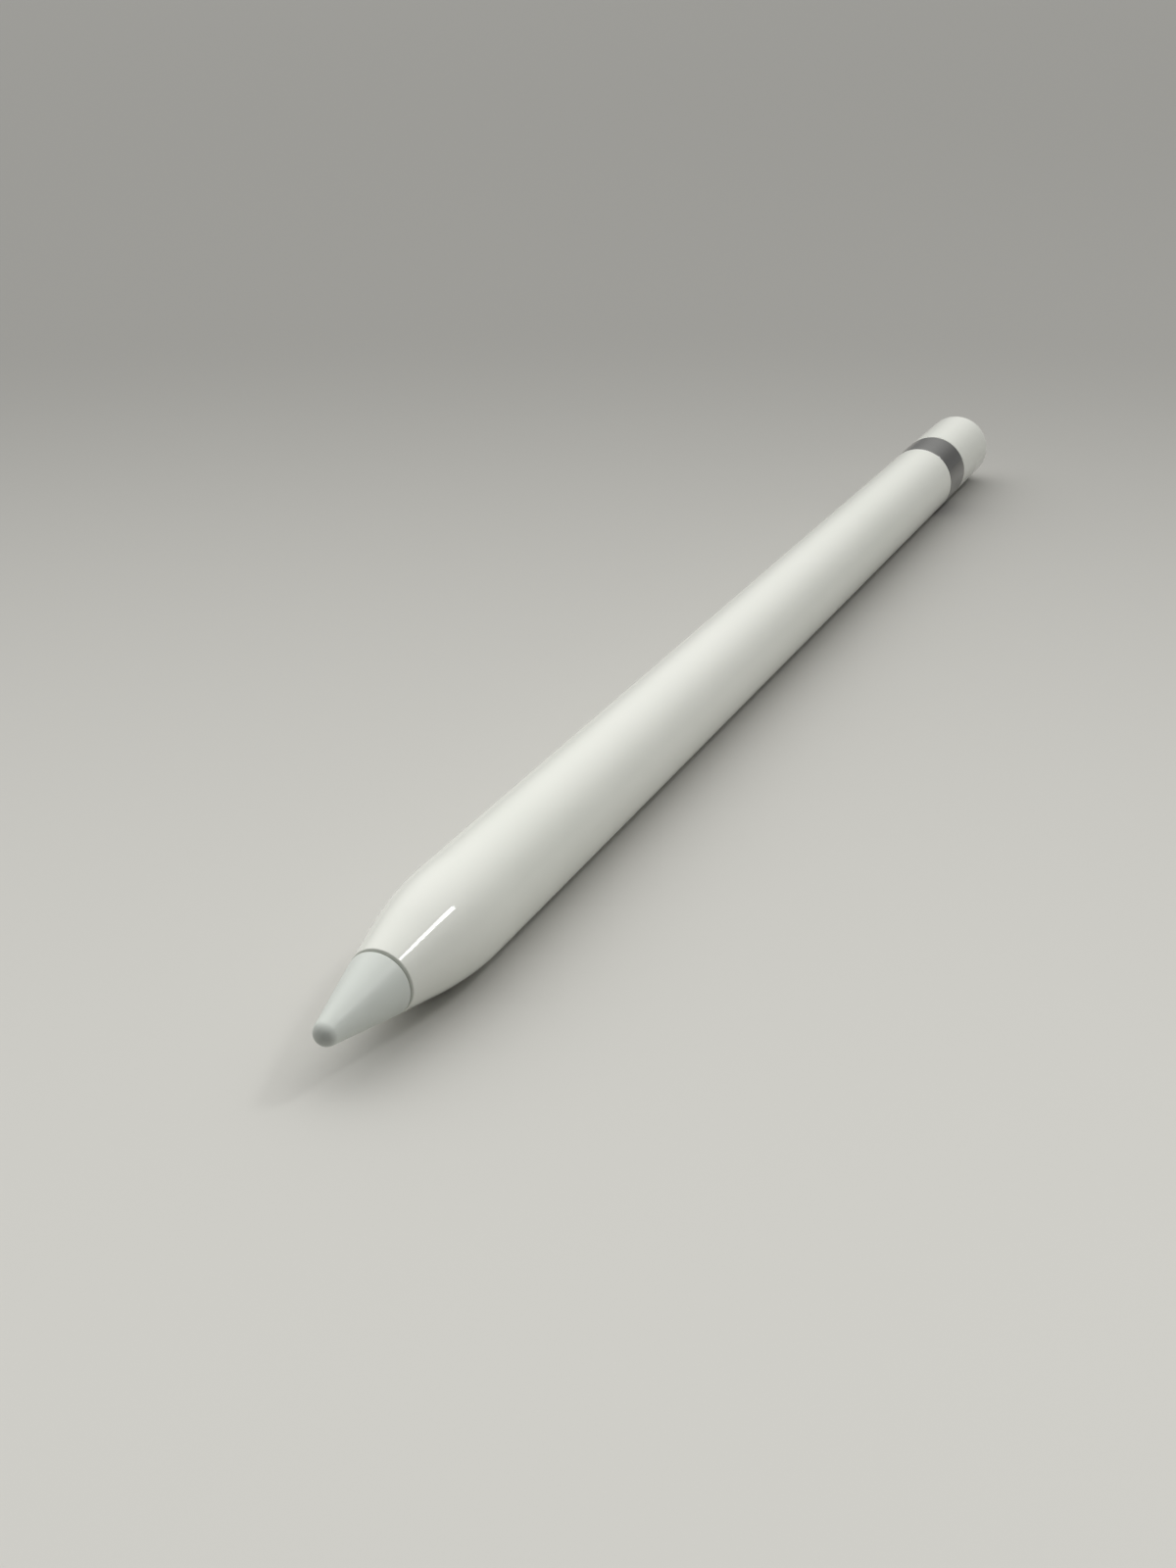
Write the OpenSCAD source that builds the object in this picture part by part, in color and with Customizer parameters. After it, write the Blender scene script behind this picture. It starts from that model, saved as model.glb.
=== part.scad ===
// Rechargeable stylus with a screw-on nib, a slim barrel, a metal ring and a pull-off cap.
// Pieces are drawn along z from the nib's point, with x up, and then laid along x.

/* [Nib] */
// Length of the nib, from its point to its flat base
nib_len = 8.1; // [7.6:0.1:10]
// Diameter of the nib at its base
nib_base_d = 5.3; // [5:0.1:5.8]
// Radius of the rounded point
nib_point_r = 1; // [0.8:0.05:1.2]
// Radius that rounds the edge of the base
nib_edge_r = 0.15; // [0.1:0.05:0.35]
// Gap between the nib and the barrel at rest
nib_gap = 0.22; // [0.18:0.01:0.4]
// Plastic left in front of the conductive core
nib_tip_wall = 0.8; // [0.6:0.1:1.2]
// Diameter of the conductive core and of the contact pin behind it
core_d = 0.9; // [0.6:0.1:1]
// Gap between the core and the contact pin
core_gap = 0.15; // [0.1:0.05:0.3]

/* [Stem] */
// Outside diameter of the screw thread
thread_d = 2.2; // [1.8:0.1:2.4]
// Advance of the thread for each turn
thread_pitch = 0.5; // [0.4:0.1:0.6]
// Depth of the thread
thread_depth = 0.25; // [0.15:0.05:0.3]
// Length of the threaded stretch
thread_len = 2; // [1.6:0.1:2.4]
// Wall of the threaded bush in the nib
insert_wall = 0.4; // [0.3:0.05:0.5]
// Length of the contact pin in front of the thread
pin_len = 1.8; // [1:0.1:2]
// Diameter of the flange that the nib is screwed against
flange_d = 3.8; // [3.2:0.1:4.2]
// Thickness of that flange
flange_t = 0.6; // [0.4:0.1:0.8]
// Diameter of the shank that slides in the nose bush
shank_d = 2; // [1.6:0.1:2.4]
// Diameter of the collar that keeps the stem in
collar_d = 3.6; // [3:0.1:4]
// Thickness of the collar
collar_t = 0.8; // [0.5:0.1:1.2]
// Diameter of the tail that presses on the spring disc
tail_d = 1.4; // [1:0.1:1.8]
// Length of the tail
tail_len = 1.15; // [0.8:0.05:2]

/* [Barrel] */
// Outside diameter of barrel, ring and cap
body_d = 8.9; // [8.7:0.1:12]
// Length of the barrel
barrel_len = 144.28; // [130:0.01:180]
// Wall of the straight stretch
barrel_wall = 0.9; // [0.7:0.05:1]
// Diameter of the barrel's front face
nose_d = 5.4; // [5.2:0.1:6]
// Half angle of the tapered nose, in degrees
nose_angle = 12.3; // [10:0.1:16]
// Radius that blends the taper into the straight stretch
nose_blend_r = 36; // [10:1:50]
// Radius that rounds the edge of the front face
nose_edge_r = 0.1; // [0.05:0.01:0.3]
// Diameter of the hole in the front face
nose_bore_d = 3.5; // [3:0.1:4]
// Length of that hole before it widens
nose_lip = 1.2; // [0.8:0.1:2]
// Radius of the small edge rounds on barrel, ring and cap
edge_r = 0.12; // [0.05:0.01:0.2]

/* [Pressure sensor] */
// Length of the nose bush, up to the sensor cup
bush_len = 13.7; // [12:0.1:16]
// Distance of the ring electrode from the front face
electrode_at = 4.2; // [3.5:0.1:6]
// Length of the ring electrode
electrode_len = 2; // [1:0.1:3]
// Inner diameter of the ring electrode
electrode_d = 4; // [3.6:0.1:4.2]
// Wall of the ring electrode
electrode_wall = 0.28; // [0.1:0.02:0.3]
// Length of the sensor cup
cup_len = 9; // [7:0.5:14]
// Wall of the sensor cup
cup_wall = 0.6; // [0.4:0.05:0.7]
// Room around the stem's collar
collar_room = 0.5; // [0.2:0.05:0.6]
// Thickness of the spring disc
flexure_t = 0.2; // [0.1:0.05:0.3]
// Width of the slots in the spring disc
flexure_slot = 0.3; // [0.2:0.05:0.4]
// Angle that each of the three slots goes round, in degrees
flexure_turn = 80; // [40:5:100]
// Thickness of the ledge between spring disc and gauge board
ledge_t = 0.75; // [0.5:0.05:1.2]
// Width of that ledge
ledge_w = 0.5; // [0.3:0.05:0.6]
// Thickness of the gauge board
gauge_t = 0.5; // [0.3:0.05:0.8]

/* [Antenna] */
// Length of the antenna carrier
antenna_len = 13; // [8:0.5:20]
// Wall of the antenna carrier
antenna_wall = 0.9; // [0.5:0.05:1]
// Thickness of the antenna film
film_t = 0.1; // [0.05:0.01:0.2]
// Distance from the carrier's ends to the film
film_margin = 2; // [1:0.5:3]
// Angle that the film goes round, in degrees
film_turn = 200; // [90:10:300]
// Angle that the gaps between the antenna's runs go round, in degrees
film_gap_turn = 160; // [60:10:260]
// Width of those gaps
film_gap = 0.3; // [0.2:0.05:0.6]

/* [Boards] */
// Wall of the inner frame
frame_wall = 0.3; // [0.2:0.05:0.4]
// Length of the closed hoops at the frame's ends
hoop_len = 2; // [1:0.1:4]
// Height at which the frame's sides end
frame_side = 1.6; // [1.4:0.1:2]
// Length of the circuit boards
board_len = 36; // [34:0.5:44]
// Thickness of the circuit boards
board_t = 0.55; // [0.4:0.05:0.6]
// Space between the two boards
board_space = 1.4; // [1:0.1:1.5]
// Distance from the frame's hoop to the boards
board_margin = 1; // [0.5:0.1:3]
// Thickness of the flat leads
lead_t = 0.12; // [0.08:0.01:0.14]
// Width of the flat leads
lead_w = 1.8; // [1.2:0.1:1.9]
// Length of the soldered pad at a lead's end
lead_pad = 1.5; // [0.8:0.1:2]
// Width of the fold that joins the boards
fold_w = 4; // [2:0.1:4.4]
// Width of the spacers between the boards
spacer_w = 3; // [1:0.1:4]
// Length of each spacer
spacer_len = 1; // [0.6:0.1:2]
// Radio: length, width and height
radio_size = [3.2, 2.8, 0.6]; // [0.5:0.1:4]
// Distance of the radio from the boards' front end
radio_at = 7; // [5:0.5:9]
// Processor: length, width and height
processor_size = [3.4, 3.4, 0.7]; // [0.5:0.1:4]
// Distance of the processor from the boards' front end
processor_at = 14; // [13:0.5:17]
// Motion sensor: length, width and height
motion_size = [3, 2.5, 0.8]; // [0.5:0.1:4]
// Distance of the motion sensor from the boards' front end
motion_at = 22; // [21:0.5:26]
// Charger: length, width and height
power_size = [2.6, 2.6, 0.7]; // [0.5:0.1:3]
// Distance of the charger from the boards' front end
power_at = 10; // [4:0.5:12]
// One capacitor: length, width and height
capacitor_size = [0.6, 1, 0.5]; // [0.4:0.1:1.2]
// Distance of the first capacitor from the boards' front end
capacitor_at = 16; // [15:0.5:20]
// Number of capacitors in each of the two rows
capacitor_count = 5; // [1:1:8]
// Spacing of the capacitors along a row
capacitor_pitch = 1.6; // [1.3:0.1:2]
// Spacing of the two rows
capacitor_rows = 1.8; // [1.3:0.1:2.2]

/* [Battery] */
// Thickness of the battery's protection board
cell_board_t = 0.5; // [0.3:0.05:0.8]
// Gap between the folded boards and the protection board
cell_board_gap = 0.8; // [0.5:0.1:3]
// Room between the cell and the frame's wall
cell_room = 0.1; // [0.08:0.01:0.3]
// Diameter of the cell's terminal
terminal_d = 2; // [1:0.1:2.6]
// Height of the cell's terminal
terminal_h = 0.6; // [0.4:0.1:1.5]
// Distance of the crimp groove from the cell's end
crimp_at = 1.2; // [0.8:0.1:3]
// Width of the crimp groove
crimp_w = 0.6; // [0.3:0.1:1]
// Depth of the crimp groove
crimp_depth = 0.25; // [0.1:0.05:0.5]
// Thickness of the welded tab
tab_t = 0.08; // [0.05:0.01:0.09]
// Width of the welded tab
tab_w = 1.6; // [1:0.1:1.8]
// Room behind the cell in which the flat lead comes down
cell_tail = 10; // [6:0.5:20]

/* [Ring and plug] */
// Length of the metal ring that shows
ring_len = 7; // [5:0.1:10]
// Wall of the metal ring
ring_wall = 0.7; // [0.5:0.05:0.8]
// Length of the ring's spigot inside the barrel
spigot_len = 5; // [3:0.1:8]
// Wall of that spigot
spigot_wall = 0.5; // [0.3:0.05:0.6]
// Depth of the step inside the ring
ring_step = 0.5; // [0.3:0.1:1]
// Length by which the plug carrier stands out in front of the spigot
carrier_lead = 1; // [0.5:0.1:3]
// Depth by which the carrier's face lies inside the ring
carrier_inset = 0.1; // [0.05:0.05:0.5]
// Width of the flat plug
plug_w = 6.65; // [6:0.05:6.7]
// Thickness of the flat plug
plug_t = 1.5; // [1.2:0.05:1.8]
// Length of the plug beyond the ring
plug_len = 6.9; // [6:0.1:7.4]
// Length of the plug's root inside the carrier
plug_root = 5.4; // [3:0.1:5.8]
// Depth of the contact windows in the plug
window_depth = 0.3; // [0.2:0.05:0.4]
// Width of the contact windows
window_w = 5; // [4.5:0.1:5.1]
// Length of the contact windows
window_len = 4.6; // [3:0.1:5]
// Distance from the plug's end to the windows
window_at = 0.9; // [0.5:0.1:1.5]
// Number of contacts on each side
contact_count = 8; // [4:1:10]
// Width of one contact
contact_w = 0.38; // [0.2:0.01:0.4]
// Length of one contact
contact_len = 3.8; // [2:0.1:4.2]
// Thickness of one contact
contact_t = 0.05; // [0.03:0.01:0.1]
// Radius of the latch notches in the plug's edges
notch_r = 0.6; // [0.3:0.05:0.8]
// Depth of the latch notches
notch_depth = 0.25; // [0.1:0.05:0.4]
// Distance from the plug's end to the notches
notch_at = 3.4; // [2:0.1:5]
// Width of the small board behind the plug
plug_board_w = 4.6; // [3:0.1:5]
// Thickness of that board
plug_board_t = 0.5; // [0.3:0.05:0.8]
// Length of that board in front of the carrier
plug_board_lead = 2; // [1:0.1:4]

/* [Cap] */
// Length of the cap
cap_len = 16; // [14:0.1:22]
// Gap between ring and cap
cap_gap = 0.1; // [0.06:0.01:0.3]
// Wall of the cap at its mouth
cap_wall = 0.55; // [0.4:0.05:0.6]
// Radius of the dome's shoulder
dome_shoulder_r = 3.2; // [2:0.1:3.6]
// Radius of the dome's top
dome_top_r = 6; // [5:0.1:9]
// Depth of the cap's bore
cap_bore_len = 9.4; // [9:0.1:11]
// Diameter of the hollow beyond the bore
hollow_d = 6; // [4:0.1:6.4]
// Depth of that hollow
hollow_len = 2.6; // [1:0.1:3]
// Depth of the retainer inside the mouth
retainer_inset = 0.2; // [0.1:0.05:0.5]
// Thickness of the retainer
retainer_t = 0.6; // [0.4:0.1:1]
// Length of the ring magnet
magnet_len = 3.2; // [2:0.1:4]
// Thickness of the liner's floor
liner_floor = 0.6; // [0.4:0.1:1]
// Room around the plug inside the cap
plug_room = 0.18; // [0.12:0.01:0.25]

/* [Fits] */
// Radial clearance between pieces that fit into each other
slip = 0.05; // [0.02:0.01:0.08]
// Radial clearance around the contact pin and the stem's flange
pin_room = 0.1; // [0.08:0.01:0.15]
// Bond line under glued films
bond = 0.01; // [0.005:0.005:0.02]

/* [Hidden] */
$fn = 96;
arc_steps = 16;
thread_sides = 24;
thread_slices = 6;
cut = 1;

// Nib and stem, as places along the axis
body_r = body_d / 2;
core_r = core_d / 2;
seat_z = nib_len - flange_t;
insert_z1 = seat_z - slip;
insert_z0 = seat_z - thread_len;
insert_bore_r = thread_d / 2 + slip;
insert_r = insert_bore_r + insert_wall;
pin_z0 = insert_z0 - pin_len;
core_z1 = pin_z0 - core_gap;
flange_r = flange_d / 2;

// Barrel
nose_z = nib_len + nib_gap;
nose_r = nose_d / 2;
ring_z0 = nose_z + barrel_len;
bore_r = body_r - barrel_wall;
nose_bore_r = nose_bore_d / 2;
inner_r = bore_r - slip;
blend_reach = nose_blend_r * tan(nose_angle / 2);
taper_z = nose_z + (body_r - nose_r) / tan(nose_angle);
blend_z1 = taper_z + blend_reach;
widen_z0 = nose_z + nose_lip;
widen_z1 = widen_z0 + (bore_r - nose_bore_r) / tan(nose_angle);

// Pressure sensor
bush_z1 = nose_z + bush_len;
electrode_z = nose_z + electrode_at;
shank_r = shank_d / 2;
collar_z0 = bush_z1 + slip;
collar_z1 = collar_z0 + collar_t;
flexure_z0 = collar_z1 + tail_len;
flexure_z1 = flexure_z0 + flexure_t;
gauge_z0 = flexure_z1 + ledge_t;
gauge_z1 = gauge_z0 + gauge_t;
cup_z1 = bush_z1 + cup_len;
cup_r = inner_r - cup_wall;
disc_r = cup_r - slip;
skirt_r = collar_d / 2 + collar_room;

// Antenna, frame and boards
antenna_z1 = cup_z1 + antenna_len;
film_floor_r = inner_r - film_t - slip;
frame_r = inner_r - frame_wall;
ring_z1 = ring_z0 + ring_len;
carrier_z0 = ring_z0 - spigot_len - carrier_lead;
window_z0 = antenna_z1 + hoop_len;
window_z1 = carrier_z0 - hoop_len;
board_z0 = window_z0 + board_margin;
board_z1 = board_z0 + board_len;
board_top = board_space / 2 + board_t;
board_w = 2 * (sqrt(pow(frame_r, 2) - pow(board_top, 2)) - slip);

// Battery
cell_board_z0 = board_z1 + board_top + cell_board_gap;
cell_board_z1 = cell_board_z0 + cell_board_t;
cell_board_r = frame_r - slip;
cell_z0 = cell_board_z1 + terminal_h;
cell_z1 = window_z1 - cell_tail;
cell_r = frame_r - cell_room;
tab_x = cell_r + bond;
lead_x = max(tab_x + tab_t, cell_board_r) + slip;

// Ring and plug
step_z = ring_z0 + ring_step;
ring_bore_r = body_r - ring_wall;
spigot_bore_r = inner_r - spigot_wall;
plug_z0 = ring_z1 - plug_root;
plug_z1 = ring_z1 + plug_len;
window_mid = plug_z1 - window_at - window_len / 2;
contact_pitch = window_w / contact_count;

// Cap
cap_z0 = ring_z1 + cap_gap;
total_len = cap_z0 + cap_len;
cap_bore_r = body_r - cap_wall;
mouth_r = plug_w / 2 + plug_room;
retainer_z0 = cap_z0 + retainer_inset;
magnet_z0 = retainer_z0 + retainer_t + slip;
liner_z0 = magnet_z0 + magnet_len + slip;
liner_z1 = cap_z0 + cap_bore_len;
dome_drop = sqrt(pow(dome_top_r - dome_shoulder_r, 2) - pow(body_r - dome_shoulder_r, 2));
dome_z = total_len - dome_top_r + dome_drop;
dome_angle = atan2(dome_drop, body_r - dome_shoulder_r);

// Half angle of the nib's cone, whose side is tangent to the rounded point
nib_side = nib_len - nib_point_r;
nib_angle = atan2(nib_base_d / 2, nib_side) - asin(nib_point_r / norm([nib_base_d / 2, nib_side]));

// Points of an arc in a profile of radius and place
function arc(r, z, size, from, to) =
    [for (i = [0 : arc_steps])
        let (a = from + (to - from) * i / arc_steps)
        [r + size * cos(a), z + size * sin(a)]];

// Edge rounds at the outer corner of a flat front or rear face
function front_edge(z) = arc(body_r - edge_r, z + edge_r, edge_r, -90, 0);
function rear_edge(z) = arc(body_r - edge_r, z - edge_r, edge_r, 0, 90);

// Radius of the tapered nose outside, before the blend
function taper_r(z) = nose_r + (z - nose_z) * tan(nose_angle);

// Radius of the nib's cone
function nib_r(z) = nib_base_d / 2 - (nib_len - z) * tan(nib_angle);

// Lays a piece along x, with the nib at -x and the barrel resting on the ground
module lay() translate([-total_len / 2, 0, body_r]) rotate([0, 90, 0]) rotate([0, 0, 180]) children();

// Solid of revolution from a profile of [radius, place] points
module turned(points) rotate_extrude() polygon(points);

// Plain tube
module tube(r_out, r_in, z0, z1) turned([[r_in, z0], [r_out, z0], [r_out, z1], [r_in, z1]]);

// Solid rod
module rod(r, z0, z1) translate([0, 0, z0]) cylinder(h = z1 - z0, r = r);

// Extrudes a side outline of [place, height] points across the width
module across(width) rotate([-90, -90, 0]) linear_extrude(height = width, center = true) children();

// Block that stands on height x, or hangs below it where up is -1
module block(size, z, x, y = 0, up = 1) {
    base = up > 0 ? x : x - size[2];
    translate([base, y - size[1] / 2, z]) cube([size[2], size[1], size[0]]);
}

// Outline of the flat plug, grown by a clearance
module plug_outline(grow) {
    square([plug_t + 2 * grow, plug_w - plug_t], center = true);
    for (side = [-1, 1])
        translate([0, side * (plug_w - plug_t) / 2]) circle(r = plug_t / 2 + grow);
}

// Threaded rod that starts and ends at the root
function thread_r(z, a) =
    let (turn = z / thread_pitch - a / 360)
    let (ridge = 1 - abs(2 * (turn - floor(turn)) - 1))
    let (fade = min(1, z / thread_pitch, (thread_len - z) / thread_pitch))
    thread_d / 2 - thread_depth * (1 - ridge * fade);

module threaded_rod() {
    levels = ceil(thread_len / thread_pitch) * thread_slices;
    ring_points = [
        for (j = [0 : levels], i = [0 : thread_sides - 1])
            let (z = thread_len * j / levels, a = 360 * i / thread_sides, r = thread_r(z, a))
            [r * cos(a), r * sin(a), z]
    ];
    sides = [
        for (j = [0 : levels - 1], i = [0 : thread_sides - 1], half = [0, 1])
            let (low = j * thread_sides, high = low + thread_sides, next = (i + 1) % thread_sides)
            half == 0 ? [low + i, high + next, low + next] : [low + i, high + i, high + next]
    ];
    first = [for (i = [0 : thread_sides - 1]) i];
    last = [for (i = [thread_sides - 1 : -1 : 0]) levels * thread_sides + i];
    polyhedron(points = ring_points, faces = concat(sides, [first, last]));
}

module nib() {
    edge_z = nib_len - nib_edge_r;
    socket_r = core_r + pin_room;
    color("whitesmoke") lay() turned(concat(
        [[0, 0]],
        arc(0, nib_point_r, nib_point_r, -90, -nib_angle),
        arc(nib_r(edge_z) - nib_edge_r / cos(nib_angle), edge_z, nib_edge_r, -nib_angle, 90),
        [
            [flange_r + pin_room, nib_len],
            [flange_r + pin_room, seat_z],
            [insert_r + slip, seat_z],
            [insert_r + slip, insert_z0 - slip],
            [socket_r, insert_z0 - slip],
            [socket_r, nib_tip_wall],
            [0, nib_tip_wall]
        ]
    ));
}

module nib_insert() {
    color("goldenrod") lay() tube(insert_r, insert_bore_r, insert_z0, insert_z1);
}

module nib_core() {
    color("dimgray") lay() rod(core_r, nib_tip_wall + slip, core_z1);
}

module stem() {
    color("silver") lay() {
        rod(core_r, pin_z0, nib_len);
        translate([0, 0, insert_z0]) threaded_rod();
        turned([
            [0, seat_z], [flange_r, seat_z], [flange_r, nib_len], [shank_r, nib_len],
            [shank_r, collar_z0], [collar_d / 2, collar_z0], [collar_d / 2, collar_z1],
            [tail_d / 2, collar_z1], [tail_d / 2, flexure_z0], [0, flexure_z0]
        ]);
    }
}

module barrel() {
    edge_z = nose_z + nose_edge_r;
    color("white") lay() turned(concat(
        [[nose_bore_r, widen_z0], [nose_bore_r, nose_z]],
        arc(taper_r(edge_z) - nose_edge_r / cos(nose_angle), edge_z, nose_edge_r, -90, -nose_angle),
        arc(body_r - nose_blend_r, blend_z1, nose_blend_r, -nose_angle, 0),
        rear_edge(ring_z0),
        [[bore_r, ring_z0], [bore_r, widen_z1]]
    ));
}

module nose_bush() {
    bore = shank_r + slip;
    electrode_r = electrode_d / 2;
    color("gainsboro") lay() difference() {
        turned([
            [bore, nose_z + slip], [nose_bore_r - slip, nose_z + slip], [nose_bore_r - slip, widen_z0],
            [inner_r, widen_z1], [inner_r, bush_z1], [disc_r, bush_z1], [disc_r, flexure_z0],
            [skirt_r, flexure_z0], [skirt_r, bush_z1], [bore, bush_z1]
        ]);
        tube(body_r, electrode_r - bond, electrode_z - slip, electrode_z + electrode_len + slip);
    }
}

module tilt_ring() {
    electrode_r = electrode_d / 2;
    color("peru") lay()
        tube(electrode_r + electrode_wall, electrode_r, electrode_z, electrode_z + electrode_len);
}

module sensor_cup() {
    ledge_r = cup_r - ledge_w;
    color("darkgray") lay() turned([
        [cup_r, bush_z1], [inner_r, bush_z1], [inner_r, cup_z1], [cup_r, cup_z1],
        [cup_r, gauge_z0], [ledge_r, gauge_z0], [ledge_r, flexure_z1], [cup_r, flexure_z1]
    ]);
}

module sensor_flexure() {
    slot_count = 3;
    slot_r = (tail_d / 2 + cup_r - ledge_w) / 2;
    color("lightsteelblue") lay() difference() {
        rod(disc_r, flexure_z0, flexure_z1);
        for (i = [0 : slot_count - 1])
            rotate([0, 0, i * 360 / slot_count])
                rotate_extrude(angle = flexure_turn)
                    translate([slot_r, flexure_z0 - cut])
                        square([flexure_slot, flexure_t + 2 * cut]);
    }
}

module gauge_board() {
    color("seagreen") lay() rod(disc_r, gauge_z0, gauge_z1);
}

// Flat lead that stands on the gauge board and runs over it to the upper board
module sensor_flex() {
    end_z = board_z0 + lead_pad;
    foot_x = board_top - lead_pad;
    top = board_top + lead_t;
    color("orange") lay() across(lead_w) polygon([
        [gauge_z1, foot_x], [gauge_z1, top], [end_z, top],
        [end_z, board_top], [gauge_z1 + lead_t, board_top], [gauge_z1 + lead_t, foot_x]
    ]);
}

module antenna_carrier() {
    color("ivory") lay() difference() {
        tube(inner_r, inner_r - antenna_wall, cup_z1, antenna_z1);
        tube(body_r, film_floor_r, cup_z1 + film_margin, antenna_z1 - film_margin);
    }
}

module antenna_film() {
    gap_count = 3;
    film_z0 = cup_z1 + film_margin + slip;
    film_z1 = antenna_z1 - film_margin - slip;
    gap_step = (film_z1 - film_z0) / (gap_count + 1);
    color("darkorange") lay() rotate([0, 0, -film_turn / 2]) difference() {
        rotate_extrude(angle = film_turn)
            translate([film_floor_r + bond, film_z0])
                square([film_t, film_z1 - film_z0]);
        for (i = [1 : gap_count])
            rotate([0, 0, i % 2 == 0 ? -cut : film_turn - film_gap_turn + cut])
                rotate_extrude(angle = film_gap_turn)
                    translate([film_floor_r - cut, film_z0 + i * gap_step])
                        square([film_t + 2 * cut, film_gap]);
    }
}

// Channel with closed hoops at its ends and an open top between them
module inner_frame() {
    color("lightgray") lay() difference() {
        tube(inner_r, frame_r, antenna_z1, carrier_z0);
        translate([frame_side, -body_r, window_z0]) cube([body_r, body_d, window_z1 - window_z0]);
    }
}

module lower_board() {
    color("darkgreen") lay() block([board_len, board_w, board_t], board_z0, -board_top);
}

module upper_board() {
    color("darkgreen") lay() block([board_len, board_w, board_t], board_z0, board_space / 2);
}

module board_fold() {
    color("orange") lay() across(fold_w) intersection() {
        translate([board_z1, 0]) difference() {
            circle(r = board_top);
            circle(r = board_top - lead_t);
        }
        translate([board_z1, -board_top]) square([board_top, 2 * board_top]);
    }
}

module board_spacers() {
    size = [spacer_len, spacer_w, board_space];
    color("black") lay() {
        block(size, board_z0 + spacer_len, -board_space / 2);
        block(size, board_z1 - 2 * spacer_len, -board_space / 2);
    }
}

module processor_chip() {
    color("black") lay() block(processor_size, board_z0 + processor_at, board_top);
}

module radio_chip() {
    color("black") lay() block(radio_size, board_z0 + radio_at, board_top);
}

module motion_chip() {
    color("black") lay() block(motion_size, board_z0 + motion_at, board_top);
}

module power_chip() {
    color("black") lay() block(power_size, board_z0 + power_at, -board_top, up = -1);
}

module capacitors() {
    first_z = board_z0 + capacitor_at;
    color("tan") lay() for (i = [0 : capacitor_count - 1], side = [-1, 1]) {
        y = side * capacitor_rows / 2;
        block(capacitor_size, first_z + i * capacitor_pitch, -board_top, y, -1);
    }
}

module battery_board() {
    color("darkgreen") lay() rod(cell_board_r, cell_board_z0, cell_board_z1);
}

module battery_cell() {
    groove_z = cell_z0 + crimp_at;
    groove_r = cell_r - crimp_depth;
    color("slategray") lay() turned([
        [0, cell_board_z1], [terminal_d / 2, cell_board_z1], [terminal_d / 2, cell_z0], [cell_r, cell_z0],
        [cell_r, groove_z], [groove_r, groove_z], [groove_r, groove_z + crimp_w],
        [cell_r, groove_z + crimp_w], [cell_r, cell_z1], [0, cell_z1]
    ]);
}

// Strip along the cell, bent down onto its end and onto the protection board
module battery_tab() {
    front_z = cell_board_z1 + tab_t;
    top = tab_x + tab_t;
    front_foot = terminal_d / 2 + cell_room;
    color("silver") lay() across(tab_w) polygon([
        [cell_board_z1, front_foot], [cell_board_z1, top], [cell_z1 + tab_t, top], [cell_z1 + tab_t, 0],
        [cell_z1, 0], [cell_z1, tab_x], [front_z, tab_x], [front_z, front_foot]
    ]);
}

// Flat lead from the upper board, over the cell and down to the board behind the plug
module charge_flex() {
    rise_z = cell_board_z0 - slip;
    end_x = plug_board_t / 2;
    end_z = carrier_z0 - plug_board_lead;
    path = [
        [board_z1 - 2 * lead_pad, board_top], [board_z1 - lead_pad, board_top],
        [rise_z - lead_t, lead_x], [cell_z1 + lead_pad, lead_x],
        [end_z, end_x], [end_z + lead_pad, end_x]
    ];
    upper = [for (i = [len(path) - 1 : -1 : 0]) path[i] + [0, lead_t]];
    color("orange") lay() across(lead_w) polygon(concat(path, upper));
}

module trim_ring() {
    color("lightslategray") lay() turned(concat(
        [[spigot_bore_r, ring_z0 - spigot_len], [inner_r, ring_z0 - spigot_len], [inner_r, ring_z0]],
        front_edge(ring_z0),
        rear_edge(ring_z1),
        [[ring_bore_r, ring_z1], [ring_bore_r, step_z], [spigot_bore_r, step_z]]
    ));
}

module plug_carrier() {
    slot_t = plug_board_t + 2 * slip;
    slot_w = plug_board_w + 2 * slip;
    color("white") lay() difference() {
        turned([
            [0, carrier_z0], [spigot_bore_r - slip, carrier_z0], [spigot_bore_r - slip, step_z],
            [ring_bore_r - slip, step_z], [ring_bore_r - slip, ring_z1 - carrier_inset],
            [0, ring_z1 - carrier_inset]
        ]);
        translate([0, 0, plug_z0]) linear_extrude(height = plug_root + cut) plug_outline(slip);
        translate([-slot_t / 2, -slot_w / 2, carrier_z0 - cut])
            cube([slot_t, slot_w, plug_z0 - carrier_z0 + 2 * cut]);
    }
}

module plug_board() {
    lead_z = carrier_z0 - plug_board_lead;
    color("darkgreen") lay()
        block([plug_z0 - lead_z, plug_board_w, plug_board_t], lead_z, -plug_board_t / 2);
}

module plug_shell() {
    notch_y = plug_w / 2 - notch_depth + notch_r;
    color("silver") lay() difference() {
        translate([0, 0, plug_z0]) linear_extrude(height = plug_z1 - plug_z0) plug_outline(0);
        for (side = [-1, 1]) {
            translate([side * (plug_t - window_depth) / 2, 0, window_mid])
                cube([window_depth, window_w, window_len], center = true);
            translate([-plug_t, side * notch_y, plug_z1 - notch_at])
                rotate([0, 90, 0]) cylinder(h = 2 * plug_t, r = notch_r);
        }
    }
}

module plug_bed() {
    bed_t = window_depth - contact_t;
    bed_x = plug_t / 2 - window_depth;
    color("dimgray") lay() for (side = [-1, 1])
        translate([side * (bed_x + bed_t / 2), 0, window_mid])
            cube([bed_t, window_w - 2 * slip, window_len - 2 * slip], center = true);
}

module plug_contacts() {
    color("gold") lay() for (side = [-1, 1], i = [0 : contact_count - 1]) {
        y = (i - (contact_count - 1) / 2) * contact_pitch;
        translate([side * (plug_t - contact_t) / 2, y, window_mid])
            cube([contact_t, contact_w, contact_len], center = true);
    }
}

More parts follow.
